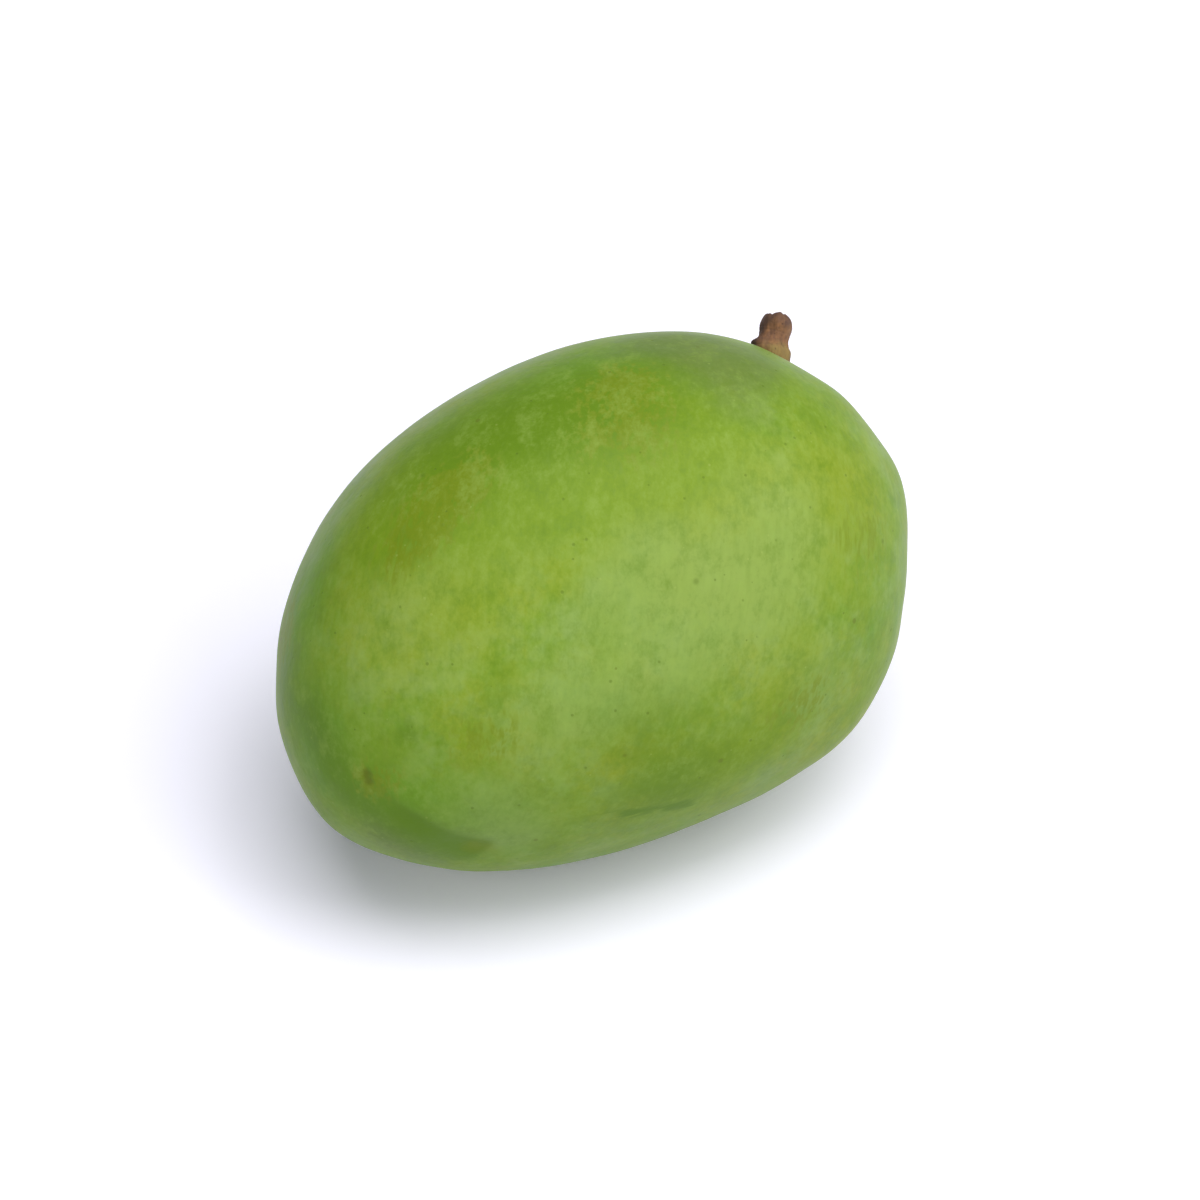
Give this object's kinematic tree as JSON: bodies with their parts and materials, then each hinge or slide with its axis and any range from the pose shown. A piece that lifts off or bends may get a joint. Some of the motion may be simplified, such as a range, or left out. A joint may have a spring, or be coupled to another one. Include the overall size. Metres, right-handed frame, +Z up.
{
  "type": "mango",
  "caption": "Green unripe mango lying on its side, an asymmetric oval fruit with a low beak, a small flat rest spot and a short broken brown stalk.",
  "frame": {"origin": "middle of the small flat spot that the fruit rests on, in the plane of the surface under it", "axes": "+X along the fruit's length towards its stem end, +Y horizontal towards the side on which the stalk grows, +Z up from the surface; the length is pitched 3.2 degrees up at the stem end"},
  "size_m": [0.0996, 0.0697, 0.0689],
  "materials": {
    "skin": "satin",
    "stalk": "matte"
  },
  "bodies": {
    "root": {"mango_fruit": "skin", "stem_stub": "stalk"}
  },
  "joints": []
}
